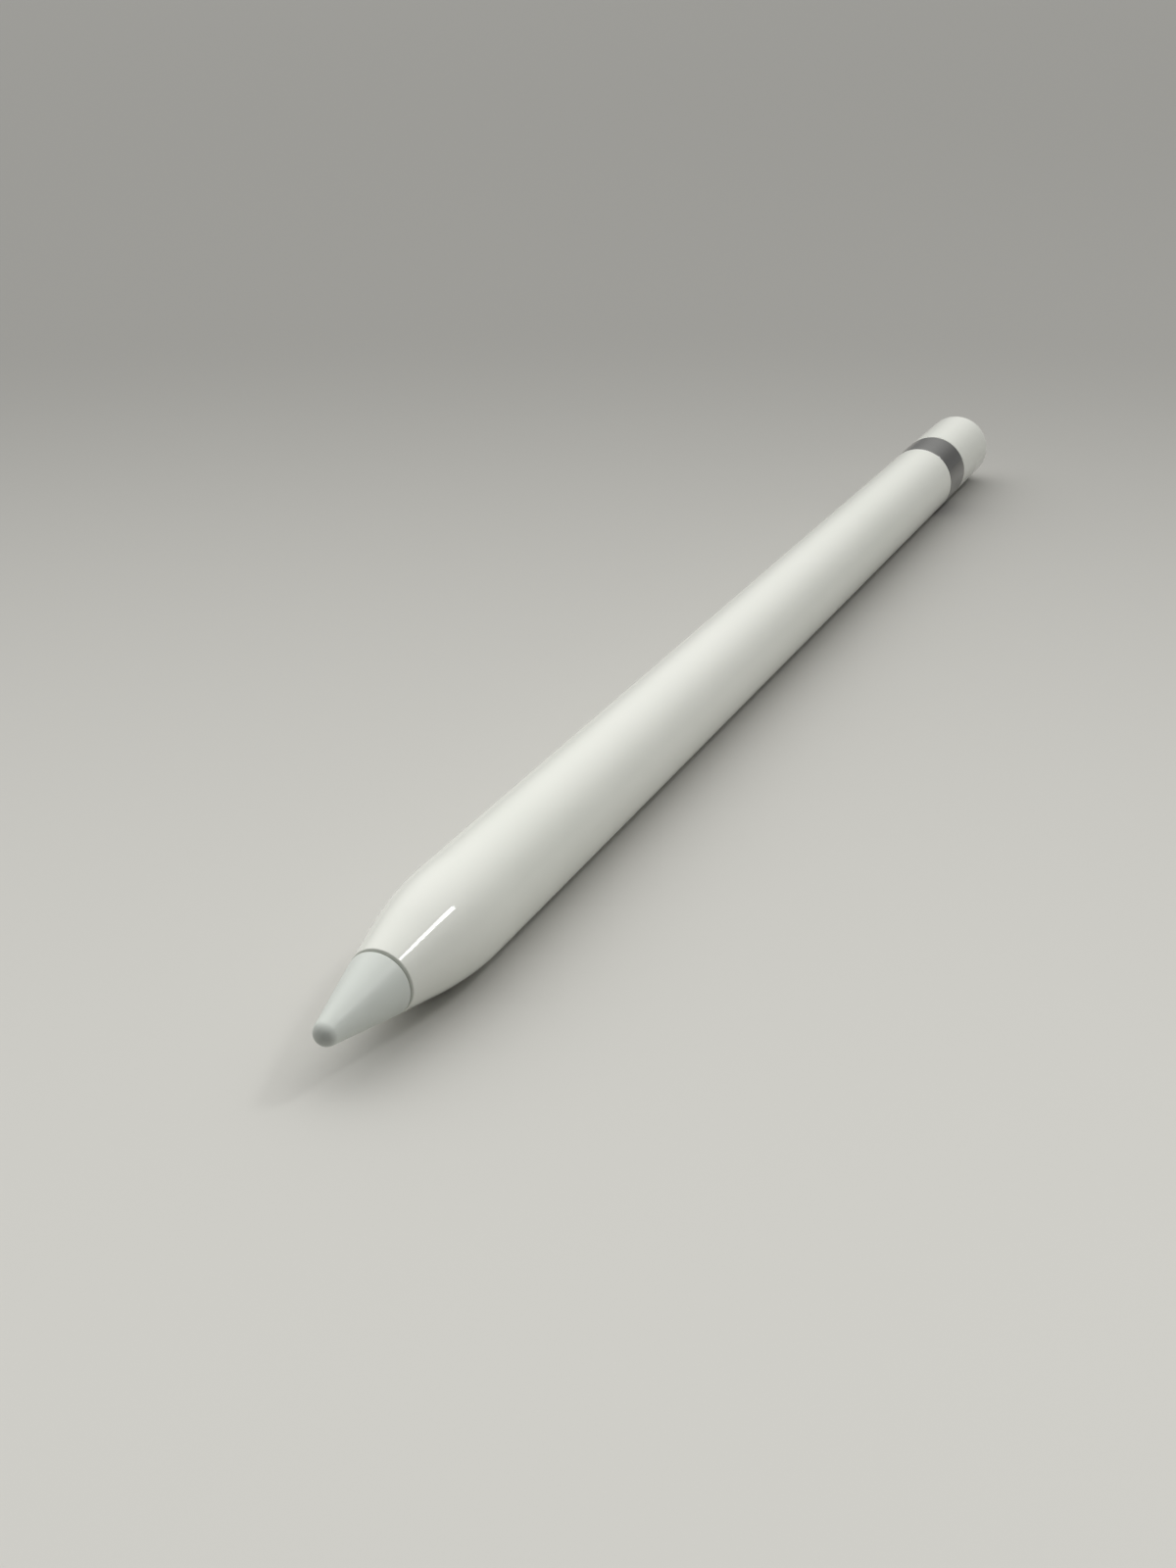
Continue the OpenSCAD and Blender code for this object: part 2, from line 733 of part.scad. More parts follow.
module cap_shell() {
    hollow_r = hollow_d / 2;
    hollow_z1 = liner_z1 + hollow_len;
    color("white") lay() turned(concat(
        [[cap_bore_r, liner_z1], [cap_bore_r, cap_z0]],
        front_edge(cap_z0),
        arc(body_r - dome_shoulder_r, dome_z, dome_shoulder_r, 0, dome_angle),
        arc(0, total_len - dome_top_r, dome_top_r, dome_angle, 90),
        [[0, hollow_z1], [hollow_r, hollow_z1], [hollow_r, liner_z1]]
    ));
}

module cap_liner() {
    liner_r = cap_bore_r - slip;
    floor_z = liner_z1 - liner_floor;
    color("gainsboro") lay() turned([
        [mouth_r, liner_z0], [liner_r, liner_z0], [liner_r, liner_z1], [0, liner_z1],
        [0, floor_z], [mouth_r, floor_z]
    ]);
}

module cap_magnet() {
    color("gray") lay() tube(cap_bore_r - slip, mouth_r, magnet_z0, magnet_z0 + magnet_len);
}

module cap_retainer() {
    color("silver") lay() tube(cap_bore_r - slip, mouth_r, retainer_z0, retainer_z0 + retainer_t);
}

nib();
nib_insert();
nib_core();
stem();
barrel();
nose_bush();
tilt_ring();
sensor_cup();
sensor_flexure();
gauge_board();
sensor_flex();
antenna_carrier();
antenna_film();
inner_frame();
lower_board();
upper_board();
board_fold();
board_spacers();
processor_chip();
radio_chip();
motion_chip();
power_chip();
capacitors();
battery_board();
battery_cell();
battery_tab();
charge_flex();
trim_ring();
plug_carrier();
plug_board();
plug_shell();
plug_bed();
plug_contacts();
cap_shell();
cap_liner();
cap_magnet();
cap_retainer();
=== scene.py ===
import math

import bmesh
import bpy
from mathutils import Matrix, Vector


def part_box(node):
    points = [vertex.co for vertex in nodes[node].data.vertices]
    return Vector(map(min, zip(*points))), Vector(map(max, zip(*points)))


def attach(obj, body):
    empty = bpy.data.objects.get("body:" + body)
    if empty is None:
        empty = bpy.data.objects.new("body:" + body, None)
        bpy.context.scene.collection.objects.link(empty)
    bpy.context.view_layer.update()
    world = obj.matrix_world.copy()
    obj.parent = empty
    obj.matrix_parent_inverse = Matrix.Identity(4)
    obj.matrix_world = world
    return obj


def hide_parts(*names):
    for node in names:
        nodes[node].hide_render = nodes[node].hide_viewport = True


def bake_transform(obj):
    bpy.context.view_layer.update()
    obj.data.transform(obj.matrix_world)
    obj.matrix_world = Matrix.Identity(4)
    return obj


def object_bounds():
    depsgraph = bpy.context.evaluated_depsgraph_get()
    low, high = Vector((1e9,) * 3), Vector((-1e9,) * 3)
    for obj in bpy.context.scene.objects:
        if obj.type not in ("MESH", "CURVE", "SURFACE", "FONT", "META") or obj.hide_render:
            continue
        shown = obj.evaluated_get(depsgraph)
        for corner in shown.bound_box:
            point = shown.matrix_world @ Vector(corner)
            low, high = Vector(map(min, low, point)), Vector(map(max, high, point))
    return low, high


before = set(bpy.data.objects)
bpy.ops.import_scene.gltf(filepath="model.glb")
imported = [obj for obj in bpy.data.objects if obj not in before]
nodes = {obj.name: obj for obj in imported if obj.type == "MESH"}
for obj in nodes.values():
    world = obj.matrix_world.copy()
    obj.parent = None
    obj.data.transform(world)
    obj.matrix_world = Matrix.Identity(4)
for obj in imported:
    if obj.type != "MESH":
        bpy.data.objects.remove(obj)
cadLow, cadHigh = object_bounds()
print("frame loaded with", len(nodes), "nodes")

# pieces are drawn in millimetres, along x from the nib's point and with the axis at the origin
mm = 0.001
fullTurn = 2 * math.pi
weldReach = 0.001  # points this close are one
cutReach = 0.0005  # a cut takes up points this close to its plane
bevelAngle = math.radians(40)  # edges sharper than this can be softened
creaseAngle = math.radians(38)  # and sharper than this stay hard in the light
usualIor = 1.5  # of the finishes that state none
placeInFrame = Vector((cadLow.x, 0, (cadLow.z + cadHigh.z) / 2))


# where a node starts and ends along the stylus
def endsOf(node):
    low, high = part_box(node)
    return [round((x - cadLow.x) / mm, 3) for x in (low.x, high.x)]


def drawProfile(bm, path):
    tip = bm.verts.new((path[0][0], 0, path[0][1]))
    for step in path[1:]:
        if len(step) == 2:  # straight to a place and radius
            tip = bmesh.ops.extrude_vert_indiv(bm, verts=[tip])["verts"][0]
            bmesh.ops.translate(bm, verts=[tip], vec=Vector((step[0], 0, step[1])) - tip.co)
        else:  # round a centre: place, radius, degrees, steps
            swept = bmesh.ops.spin(bm, geom=[tip], cent=(step[0], 0, step[1]), axis=(0, 1, 0),
                                   angle=math.radians(step[2]), steps=step[3])
            tip = swept["geom_last"][0]


def turnRound(bm, around):
    bmesh.ops.spin(bm, geom=bm.verts[:] + bm.edges[:], cent=(0, 0, 0), axis=(1, 0, 0),
                   angle=fullTurn, steps=around, use_merge=True)
    bmesh.ops.remove_doubles(bm, verts=bm.verts, dist=weldReach)


def softenEdges(bm, width, segments=2):
    bmesh.ops.recalc_face_normals(bm, faces=bm.faces)
    sharp = [e for e in bm.edges if e.is_manifold and e.calc_face_angle() > bevelAngle]
    bmesh.ops.bevel(bm, geom=sharp, offset=width, offset_type="OFFSET", affect="EDGES",
                    segments=segments, profile=0.5, material=-1, clamp_overlap=True)


def turned(path, around, soften=0):
    bm = bmesh.new()
    drawProfile(bm, path)
    turnRound(bm, around)
    if soften:
        softenEdges(bm, soften)
    return bm


def tubePath(outer, inner, start, end):
    return [(start, inner), (start, outer), (end, outer), (end, inner), (start, inner)]


# a screw thread: one pitch of ridge swept along the axis and trimmed square, as two open loops
def cutThread(bm, thread, root, crest, start, end):
    pitch = thread["pitch"]
    first = start - pitch - (start - thread["rootAt"]) % pitch
    middle = first + pitch / 2
    half = thread["crestHalf"]
    drawProfile(bm, [(first, root), (middle - half, crest), (middle + half, crest), (first + pitch, root)])
    turns = math.ceil((end - first) / pitch) + 1
    around = thread["around"]
    bmesh.ops.spin(bm, geom=bm.verts[:] + bm.edges[:], cent=(0, 0, 0), axis=(1, 0, 0),
                   dvec=(pitch / around, 0, 0), angle=fullTurn * turns, steps=around * turns)
    bmesh.ops.remove_doubles(bm, verts=bm.verts, dist=weldReach)
    loops = []
    for place, side in ((start, -1), (end, 1)):
        cut = bmesh.ops.bisect_plane(bm, geom=bm.verts[:] + bm.edges[:] + bm.faces[:], dist=cutReach,
                                     plane_co=(place, 0, 0), plane_no=(side, 0, 0), clear_outer=True)
        loops.append([e for e in cut["geom_cut"] if isinstance(e, bmesh.types.BMEdge)])
    return loops


def holdRadius(vert, low, high):
    radius = math.hypot(vert.co.y, vert.co.z)
    held = min(max(radius, low), high) / radius
    vert.co.y *= held
    vert.co.z *= held


# carries an open loop on through rings of a place and a radius
def growRings(bm, loop, path):
    for place, radius in path:
        grown = bmesh.ops.extrude_edge_only(bm, edges=loop)["geom"]
        loop = [e for e in grown if isinstance(e, bmesh.types.BMEdge) and e.is_boundary]
        for vert in {v for e in loop for v in e.verts}:
            vert.co.x = place
            holdRadius(vert, radius, radius)
    return loop


# splits faces where a plane crosses them
def sliceFaces(bm, faces, at, along):
    parts = {part for f in faces for part in (f, *f.edges, *f.verts)}
    bmesh.ops.bisect_plane(bm, geom=list(parts), dist=cutReach, plane_co=at, plane_no=along)


# a flat outline with round corners
def addOutline(bm, length, width, corner, height, segments=32, filled=False):
    reach = corner / math.cos(math.pi / segments)
    verts = bmesh.ops.create_circle(bm, cap_ends=filled, segments=segments, radius=reach,
                                    matrix=Matrix.Rotation(math.pi / segments, 4, "Z"))["verts"]
    for vert in verts:
        vert.co.x += math.copysign(length / 2 - corner, vert.co.x)
        vert.co.y += math.copysign(width / 2 - corner, vert.co.y)
        vert.co.z = height
    return verts


# a flat plate with round corners, lying on low
def addPlate(bm, length, width, corner, low, high, segments=32):
    verts = addOutline(bm, length, width, corner, low, segments, True)
    lid = bmesh.ops.extrude_face_region(bm, geom=verts[0].link_faces[:1])["geom"]
    lidVerts = [v for v in lid if isinstance(v, bmesh.types.BMVert)]
    bmesh.ops.translate(bm, verts=lidVerts, vec=(0, 0, high - low))
    return verts + lidVerts


def makePiece(name, bm, finish, body, slot, *replaced):
    bmesh.ops.scale(bm, vec=(mm, mm, mm), verts=bm.verts)
    bmesh.ops.translate(bm, vec=placeInFrame, verts=bm.verts)
    bmesh.ops.recalc_face_normals(bm, faces=bm.faces)
    for face in bm.faces:
        face.smooth = True
    mesh = bpy.data.meshes.new(name)
    bm.to_mesh(mesh)
    bm.free()
    mesh.set_sharp_from_angle(angle=creaseAngle)
    mesh.materials.append(finish)
    piece = bpy.data.objects.new(name, mesh)
    bpy.context.scene.collection.objects.link(piece)
    even = piece.modifiers.new("evenNormals", "WEIGHTED_NORMAL")  # keeps long faces flat in the light
    even.keep_sharp = True
    if body:  # a piece given no body, such as a disc arm, is left unattached
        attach(piece, body)
    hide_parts(*replaced)
    return piece


# a colour as a screen shows it, from 0 to 255, in linear light
def fromScreen(colour):
    parts = [c / 255 for c in colour]
    return [p / 12.92 if p <= 0.04045 else ((p + 0.055) / 1.055) ** 2.4 for p in parts] + [1]


def addNode(tree, kind, **settings):
    node = tree.nodes.new(kind)
    for name, value in settings.items():
        setattr(node, name, value)
    return node


def noiseOn(tree, coords, scale, detail=2, stretch=(1, 1, 1)):
    mapping = addNode(tree, "ShaderNodeMapping")
    mapping.inputs["Scale"].default_value = stretch
    tree.links.new(coords, mapping.inputs["Vector"])
    noise = addNode(tree, "ShaderNodeTexNoise")
    noise.inputs["Scale"].default_value = scale
    noise.inputs["Detail"].default_value = detail
    tree.links.new(mapping.outputs["Vector"], noise.inputs["Vector"])
    return noise.outputs["Fac"]


def mixColours(tree, factor, first, second):
    mix = addNode(tree, "ShaderNodeMix", data_type="RGBA")
    tree.links.new(factor, mix.inputs["Factor"])
    for socket, colour in ((mix.inputs["A"], first), (mix.inputs["B"], second)):
        if isinstance(colour, bpy.types.NodeSocket):
            tree.links.new(colour, socket)
        else:
            socket.default_value = fromScreen(colour)
    return mix.outputs["Result"]


def spread(tree, factor, low, high, fromLow=0.3, fromHigh=0.7, curve="LINEAR"):
    ranged = addNode(tree, "ShaderNodeMapRange", interpolation_type=curve)
    ranged.inputs["From Min"].default_value = fromLow
    ranged.inputs["From Max"].default_value = fromHigh
    ranged.inputs["To Min"].default_value = low
    ranged.inputs["To Max"].default_value = high
    tree.links.new(factor, ranged.inputs["Value"])
    return ranged.outputs["Result"]


def bumpFrom(tree, height, depth, below=None):
    bump = addNode(tree, "ShaderNodeBump")
    bump.inputs["Strength"].default_value = 1
    bump.inputs["Distance"].default_value = depth
    tree.links.new(height, bump.inputs["Height"])
    if below:
        tree.links.new(below, bump.inputs["Normal"])
    return bump.outputs["Normal"]


# one finish: two shades that drift into each other, an uneven gloss and a fine grain,
# with turning lines round the axis, a point greyed by wear and painted shade, or copper tracks under the
# lacquer where the look has them
def makeFinish(name, look):
    material = bpy.data.materials.new(name)
    material.use_nodes = True
    tree = material.node_tree
    shader = tree.nodes["Principled BSDF"]
    coords = addNode(tree, "ShaderNodeTexCoord").outputs["Object"]
    drift = spread(tree, noiseOn(tree, coords, look["driftScale"], detail=3), 0, 1)
    colour = mixColours(tree, drift, look["colour"], look["shade"])
    gloss = noiseOn(tree, coords, look["glossScale"], detail=3)
    rough = spread(tree, gloss, *look["rough"])
    normal = bumpFrom(tree, noiseOn(tree, coords, look["grainScale"]), look["grainDepth"])
    if "wearAndShade" in look:  # painted shade and wear: greyer towards the point
        along = addNode(tree, "ShaderNodeSeparateXYZ")
        tree.links.new(coords, along.inputs["Vector"])
        broken = addNode(tree, "ShaderNodeMath", operation="MULTIPLY_ADD")
        tree.links.new(gloss, broken.inputs[0])
        broken.inputs[1].default_value = look["wearAndShadeBreak"] * mm
        tree.links.new(along.outputs["X"], broken.inputs[2])
        wearAndShadeFrom, wearAndShadeTo = (cadLow.x + look[key] * mm for key in ("wearAndShadeFrom", "wearAndShadeTo"))
        wearAndShadeMask = spread(tree, broken.outputs["Value"], 1, 0, wearAndShadeFrom, wearAndShadeTo, "SMOOTHSTEP")
        # the point's grey is partly wear and partly painted shade
        colour = mixColours(tree, wearAndShadeMask, colour, look["wearAndShade"])
    if "track" in look:  # lighter lines between the cells of a square pattern
        cells = addNode(tree, "ShaderNodeTexVoronoi", feature="DISTANCE_TO_EDGE", distance="MANHATTAN")
        cells.inputs["Scale"].default_value = look["trackScale"]
        tree.links.new(coords, cells.inputs["Vector"])
        track = spread(tree, cells.outputs["Distance"], 1, 0, look["trackWidth"], look["trackEdge"])
        colour = mixColours(tree, track, colour, look["track"])
    if "linesScale" in look:
        lines = noiseOn(tree, coords, look["linesScale"], stretch=(1, 0, 0))
        normal = bumpFrom(tree, lines, look["linesDepth"], normal)
    tree.links.new(colour, shader.inputs["Base Color"])
    tree.links.new(rough, shader.inputs["Roughness"])
    tree.links.new(normal, shader.inputs["Normal"])
    shader.inputs["Metallic"].default_value = look["metal"]
    shader.inputs["IOR"].default_value = look.get("ior", usualIor)
    return material


barrelLook = {
    "colour": (233, 234, 228), "shade": (229, 231, 224), "driftScale": 45,
    "rough": (0.03, 0.05), "glossScale": 260, "grainScale": 650, "grainDepth": 1e-8, "metal": 0,
}
nibLook = {
    "colour": (215, 220, 215), "shade": (209, 214, 209), "driftScale": 160,
    "rough": (0.33, 0.42), "glossScale": 700, "grainScale": 9000, "grainDepth": 6e-7, "metal": 0, "ior": 1.48,
    "wearAndShade": (172, 176, 172), "wearAndShadeFrom": 0.15, "wearAndShadeTo": 1.15, "wearAndShadeBreak": 0.4,  # painted shade and wear, fading out between these distances behind the point
}
ringLook = {
    "colour": (128, 128, 127), "shade": (121, 121, 120), "driftScale": 120,
    "rough": (0.10, 0.16), "glossScale": 900, "grainScale": 3000, "grainDepth": 1.5e-7, "metal": 1,
    "linesScale": 9000, "linesDepth": 2e-7,
}
barrelWhite = makeFinish("barrelWhite", barrelLook)
nibWhite = makeFinish("nibWhite", nibLook)
ringSteel = makeFinish("ringSteel", ringLook)
print("finishes of the outside made")

# nib: rounded point, cone, rounded base edge and the stepped socket for bush, pin and core
nibCone = {
    "pointRadius": 1.0, "baseRadius": 2.65, "edgeRadius": 0.15, "flangeRoom": 2.0, "bushRoom": 1.6,
    "bushFrom": 5.45, "flangeFrom": 7.5, "pinRoom": 0.55, "tipWall": 0.8,
    "around": 128, "pointSteps": 24, "edgeSteps": 10,
}
nibStart, nibEnd = endsOf("nib")
nibSide = nibEnd - nibCone["pointRadius"]
nibSlope = (math.atan2(nibCone["baseRadius"], nibSide)
            - math.asin(nibCone["pointRadius"] / math.hypot(nibCone["baseRadius"], nibSide)))
edgeAt = nibEnd - nibCone["edgeRadius"]
edgeCentre = (nibCone["baseRadius"] - nibCone["edgeRadius"] * math.tan(nibSlope)
              - nibCone["edgeRadius"] / math.cos(nibSlope))
slopeDegrees = math.degrees(nibSlope)
bm = turned([
    (nibStart, 0),
    (nibCone["pointRadius"], 0, 90 - slopeDegrees, nibCone["pointSteps"]),
    (edgeAt - nibCone["edgeRadius"] * math.sin(nibSlope),
     edgeCentre + nibCone["edgeRadius"] * math.cos(nibSlope)),
    (edgeAt, edgeCentre, 90 + slopeDegrees, nibCone["edgeSteps"]),
    (nibEnd, nibCone["flangeRoom"]),
    (nibCone["flangeFrom"], nibCone["flangeRoom"]),
    (nibCone["flangeFrom"], nibCone["bushRoom"]),
    (nibCone["bushFrom"], nibCone["bushRoom"]),
    (nibCone["bushFrom"], nibCone["pinRoom"]),
    (nibCone["tipWall"], nibCone["pinRoom"]),
    (nibCone["tipWall"], 0),
], nibCone["around"])
makePiece("nibCone", bm, nibWhite, "nib", "nib_white", "nib")

# barrel: one tube, with a straight taper that runs into the cylinder on a long arc
barrelTube = {
    "radius": 4.45, "wall": 0.9, "noseRadius": 2.7, "noseDegrees": 12.3, "blendRadius": 36,
    "noseEdge": 0.1, "noseBore": 1.75, "lipLength": 1.2, "rearEdge": 0.12,
    "around": 160, "noseSteps": 10, "blendSteps": 32, "rearSteps": 6,
}
noseAt, barrelEnd = endsOf("barrel")
taper = math.radians(barrelTube["noseDegrees"])
boreRadius = barrelTube["radius"] - barrelTube["wall"]
blendReach = barrelTube["blendRadius"] * math.tan(taper / 2)
blendEnd = noseAt + (barrelTube["radius"] - barrelTube["noseRadius"]) / math.tan(taper) + blendReach
blendCentre = barrelTube["radius"] - barrelTube["blendRadius"]
lipEnd = noseAt + barrelTube["lipLength"]
widenEnd = lipEnd + (boreRadius - barrelTube["noseBore"]) / math.tan(taper)
noseEdge = barrelTube["noseEdge"]
noseEdgeCentre = barrelTube["noseRadius"] + noseEdge * math.tan(taper) - noseEdge / math.cos(taper)
rearEdge = barrelTube["rearEdge"]
bm = turned([
    (lipEnd, barrelTube["noseBore"]),
    (noseAt, barrelTube["noseBore"]),
    (noseAt, noseEdgeCentre),
    (noseAt + noseEdge, noseEdgeCentre, 90 - barrelTube["noseDegrees"], barrelTube["noseSteps"]),
    (blendEnd - barrelTube["blendRadius"] * math.sin(taper),
     blendCentre + barrelTube["blendRadius"] * math.cos(taper)),
    (blendEnd, blendCentre, barrelTube["noseDegrees"], barrelTube["blendSteps"]),
    (barrelEnd - rearEdge, barrelTube["radius"]),
    (barrelEnd - rearEdge, barrelTube["radius"] - rearEdge, 90, barrelTube["rearSteps"]),
    (barrelEnd, boreRadius),
    (widenEnd, boreRadius),
    (lipEnd, barrelTube["noseBore"]),
], barrelTube["around"])
makePiece("barrelTube", bm, barrelWhite, "barrel", "barrel_white", "barrel")

# ring: polished band, with the spigot that sits in the barrel
ringBand = {
    "radius": 4.45, "bore": 3.75, "spigotRadius": 3.5, "spigotBore": 3.0, "step": 0.5, "edge": 0.12,
    "around": 160, "edgeSteps": 6,
}
spigotStart, ringEnd = endsOf("trim_ring")
ringEdge = ringBand["edge"]
bm = turned([
    (spigotStart, ringBand["spigotBore"]),
    (spigotStart, ringBand["spigotRadius"]),
    (barrelEnd, ringBand["spigotRadius"]),
    (barrelEnd, ringBand["radius"] - ringEdge),
    (barrelEnd + ringEdge, ringBand["radius"] - ringEdge, 90, ringBand["edgeSteps"]),
    (ringEnd - ringEdge, ringBand["radius"]),
    (ringEnd - ringEdge, ringBand["radius"] - ringEdge, 90, ringBand["edgeSteps"]),
    (ringEnd, ringBand["bore"]),
    (barrelEnd + ringBand["step"], ringBand["bore"]),
    (barrelEnd + ringBand["step"], ringBand["spigotBore"]),
    (spigotStart, ringBand["spigotBore"]),
], ringBand["around"])
makePiece("ringBand", bm, ringSteel, "barrel", "ring_metal", "trim_ring")

# cap: thin wall at the mouth and a dome of two arcs
capDome = {
    "radius": 4.45, "mouthEdge": 0.12, "bore": 3.9, "boreLength": 9.4, "hollow": 3.0, "hollowLength": 2.6,
    "shoulderRadius": 3.2, "topRadius": 6.0,
    "around": 160, "mouthSteps": 6, "shoulderSteps": 24, "topSteps": 12,
}
capStart, capEnd = endsOf("cap_shell")
shoulderCentre = capDome["radius"] - capDome["shoulderRadius"]
domeDrop = math.sqrt((capDome["topRadius"] - capDome["shoulderRadius"]) ** 2 - shoulderCentre ** 2)
shoulderAt = capEnd - capDome["topRadius"] + domeDrop
shoulderDegrees = math.degrees(math.atan2(domeDrop, shoulderCentre))
boreEnd = capStart + capDome["boreLength"]
hollowEnd = boreEnd + capDome["hollowLength"]
mouthEdge = capDome["mouthEdge"]
bm = turned([
    (boreEnd, capDome["bore"]),
    (capStart, capDome["bore"]),
    (capStart, capDome["radius"] - mouthEdge),
    (capStart + mouthEdge, capDome["radius"] - mouthEdge, 90, capDome["mouthSteps"]),
    (shoulderAt, capDome["radius"]),
    (shoulderAt, shoulderCentre, shoulderDegrees, capDome["shoulderSteps"]),
    (capEnd - capDome["topRadius"], 0, 90 - shoulderDegrees, capDome["topSteps"]),
    (hollowEnd, 0),
    (hollowEnd, capDome["hollow"]),
    (boreEnd, capDome["hollow"]),
    (boreEnd, capDome["bore"]),
], capDome["around"])
makePiece("capDome", bm, barrelWhite, "cap", "barrel_white", "cap_shell")
print("outside pieces made")


def plastic(colour, shade, rough, **more):
    return {"colour": colour, "shade": shade, "driftScale": 220, "rough": rough, "glossScale": 900,
            "grainScale": 6000, "grainDepth": 8e-7, "metal": 0, **more}


def metal(colour, shade, rough, **more):
    return {"colour": colour, "shade": shade, "driftScale": 300, "rough": rough, "glossScale": 1500,
            "grainScale": 8000, "grainDepth": 3e-7, "metal": 1, **more}


lathe = {"linesScale": 8000, "linesDepth": 6e-7}
tracks = {"trackScale": 700, "trackWidth": 0.09, "trackEdge": 0.126}
innerLooks = {
    "brass": metal((202, 164, 88), (188, 150, 78), (0.18, 0.28), **lathe),
    "carbon_black": plastic((46, 46, 47), (38, 38, 39), (0.5, 0.62)),
    "stem_steel": metal((170, 170, 168), (158, 158, 157), (0.18, 0.28), **lathe),
    "spring_steel": metal((150, 154, 161), (140, 144, 150), (0.2, 0.3)),
    "frame_steel": metal((162, 162, 162), (150, 150, 151), (0.3, 0.42)),
    "inner_white": plastic((214, 214, 210), (207, 207, 203), (0.38, 0.5)),
    "copper": metal((204, 132, 92), (190, 118, 80), (0.22, 0.34)),
    "board_green": plastic((34, 88, 54), (28, 78, 47), (0.28, 0.4), track=(58, 122, 80), **tracks),
    "lead_amber": plastic((190, 122, 46), (178, 110, 38), (0.28, 0.4), track=(206, 146, 74), **tracks),
    "chip_black": plastic((42, 42, 44), (35, 35, 37), (0.5, 0.62)),
    "capacitor_tan": plastic((152, 120, 86), (140, 108, 76), (0.4, 0.5)),
    "cell_foil": metal((142, 146, 152), (132, 136, 143), (0.26, 0.38)),
    "nickel": metal((184, 182, 172), (172, 170, 161), (0.24, 0.34)),
    "plug_white": plastic((222, 222, 218), (216, 216, 211), (0.3, 0.4)),
    "plug_steel": metal((184, 184, 182), (174, 174, 172), (0.24, 0.34)),
    "plug_grey": plastic((58, 58, 61), (50, 50, 53), (0.4, 0.5)),
    "contact_gold": metal((224, 178, 92), (214, 166, 80), (0.14, 0.22)),
    "magnet_nickel": metal((168, 168, 164), (158, 158, 154), (0.12, 0.2)),
}
finishOf = {slot: makeFinish(slot, look) for slot, look in innerLooks.items()}

# stem: pin, thread for the nib, flange, shank and the collar and tail that bear on the sensor
stemScrew = {
    "pinRadius": 0.45, "rootRadius": 0.85, "crestRadius": 1.1, "crestHalf": 0.03125, "pitch": 0.5,
    "rootAt": 5.5, "threadFrom": 5.5, "leadIn": 0.8, "around": 48,
    "flangeFrom": 7.5, "flangeTo": 8.1, "flangeRadius": 1.9, "shankRadius": 1.0,
    "collarFrom": 22.07, "collarTo": 22.87, "collarRadius": 1.8, "tailRadius": 0.7, "edge": 0.06,
    "pinEnd": ((0.15, 0), (0.04, 0.06), (0, 0.17)),  # how far from the end, and how much thinner there
}
stemStart, stemEnd = endsOf("stem")
stemEdge = stemScrew["edge"]
bm = bmesh.new()
front, rear = cutThread(bm, stemScrew, stemScrew["rootRadius"], stemScrew["crestRadius"],
                        stemScrew["threadFrom"], stemScrew["flangeFrom"])
for vert in bm.verts:  # the thread rises from its root at the front
    rise = (vert.co.x - stemScrew["threadFrom"]) * stemScrew["leadIn"]
    holdRadius(vert, 0, stemScrew["rootRadius"] + rise)
pinRings = [(stemStart + place, stemScrew["pinRadius"] - inset) for place, inset in stemScrew["pinEnd"]]
pinEnd = growRings(bm, front, [(stemScrew["threadFrom"], stemScrew["pinRadius"])] + pinRings)
tailEnd = growRings(bm, rear, [
    (stemScrew["flangeFrom"], stemScrew["flangeRadius"] - stemEdge),
    (stemScrew["flangeFrom"] + stemEdge, stemScrew["flangeRadius"]),
    (stemScrew["flangeTo"] - stemEdge, stemScrew["flangeRadius"]),
    (stemScrew["flangeTo"], stemScrew["flangeRadius"] - stemEdge),
    (stemScrew["flangeTo"], stemScrew["shankRadius"]),
    (stemScrew["collarFrom"], stemScrew["shankRadius"]),
    (stemScrew["collarFrom"], stemScrew["collarRadius"] - stemEdge),
    (stemScrew["collarFrom"] + stemEdge, stemScrew["collarRadius"]),
    (stemScrew["collarTo"] - stemEdge, stemScrew["collarRadius"]),
    (stemScrew["collarTo"], stemScrew["collarRadius"] - stemEdge),
    (stemScrew["collarTo"], stemScrew["tailRadius"]),
    (stemEnd - stemEdge, stemScrew["tailRadius"]),
    (stemEnd, stemScrew["tailRadius"] - stemEdge),
])
bmesh.ops.edgeloop_fill(bm, edges=pinEnd)
bmesh.ops.edgeloop_fill(bm, edges=tailEnd)
makePiece("stemScrew", bm, finishOf["stem_steel"], "stem", "stem_steel", "stem")

# bush: the nut in the nib, cut with the stem's thread and a little room
nibBush = {"radius": 1.55, "room": 0.06, "edge": 0.06, "sink": 0.02}
bushStart, bushEnd = endsOf("nib_insert")
minor = stemScrew["rootRadius"] + nibBush["room"]
major = stemScrew["crestRadius"] + nibBush["room"]
bm = bmesh.new()
front, rear = cutThread(bm, stemScrew, minor, major, bushStart, bushEnd)
mouth = major + nibBush["sink"]
for vert in bm.verts:  # countersunk ends
    holdRadius(vert, mouth - min(vert.co.x - bushStart, bushEnd - vert.co.x), mouth)
rim = growRings(bm, front, [
    (bushStart, nibBush["radius"] - nibBush["edge"]),
    (bushStart + nibBush["edge"], nibBush["radius"]),
    (bushEnd - nibBush["edge"], nibBush["radius"]),
    (bushEnd, nibBush["radius"] - nibBush["edge"]),
])
bmesh.ops.bridge_loops(bm, edges=rim + rear)
makePiece("nibBush", bm, finishOf["brass"], "nib", "brass", "nib_insert")

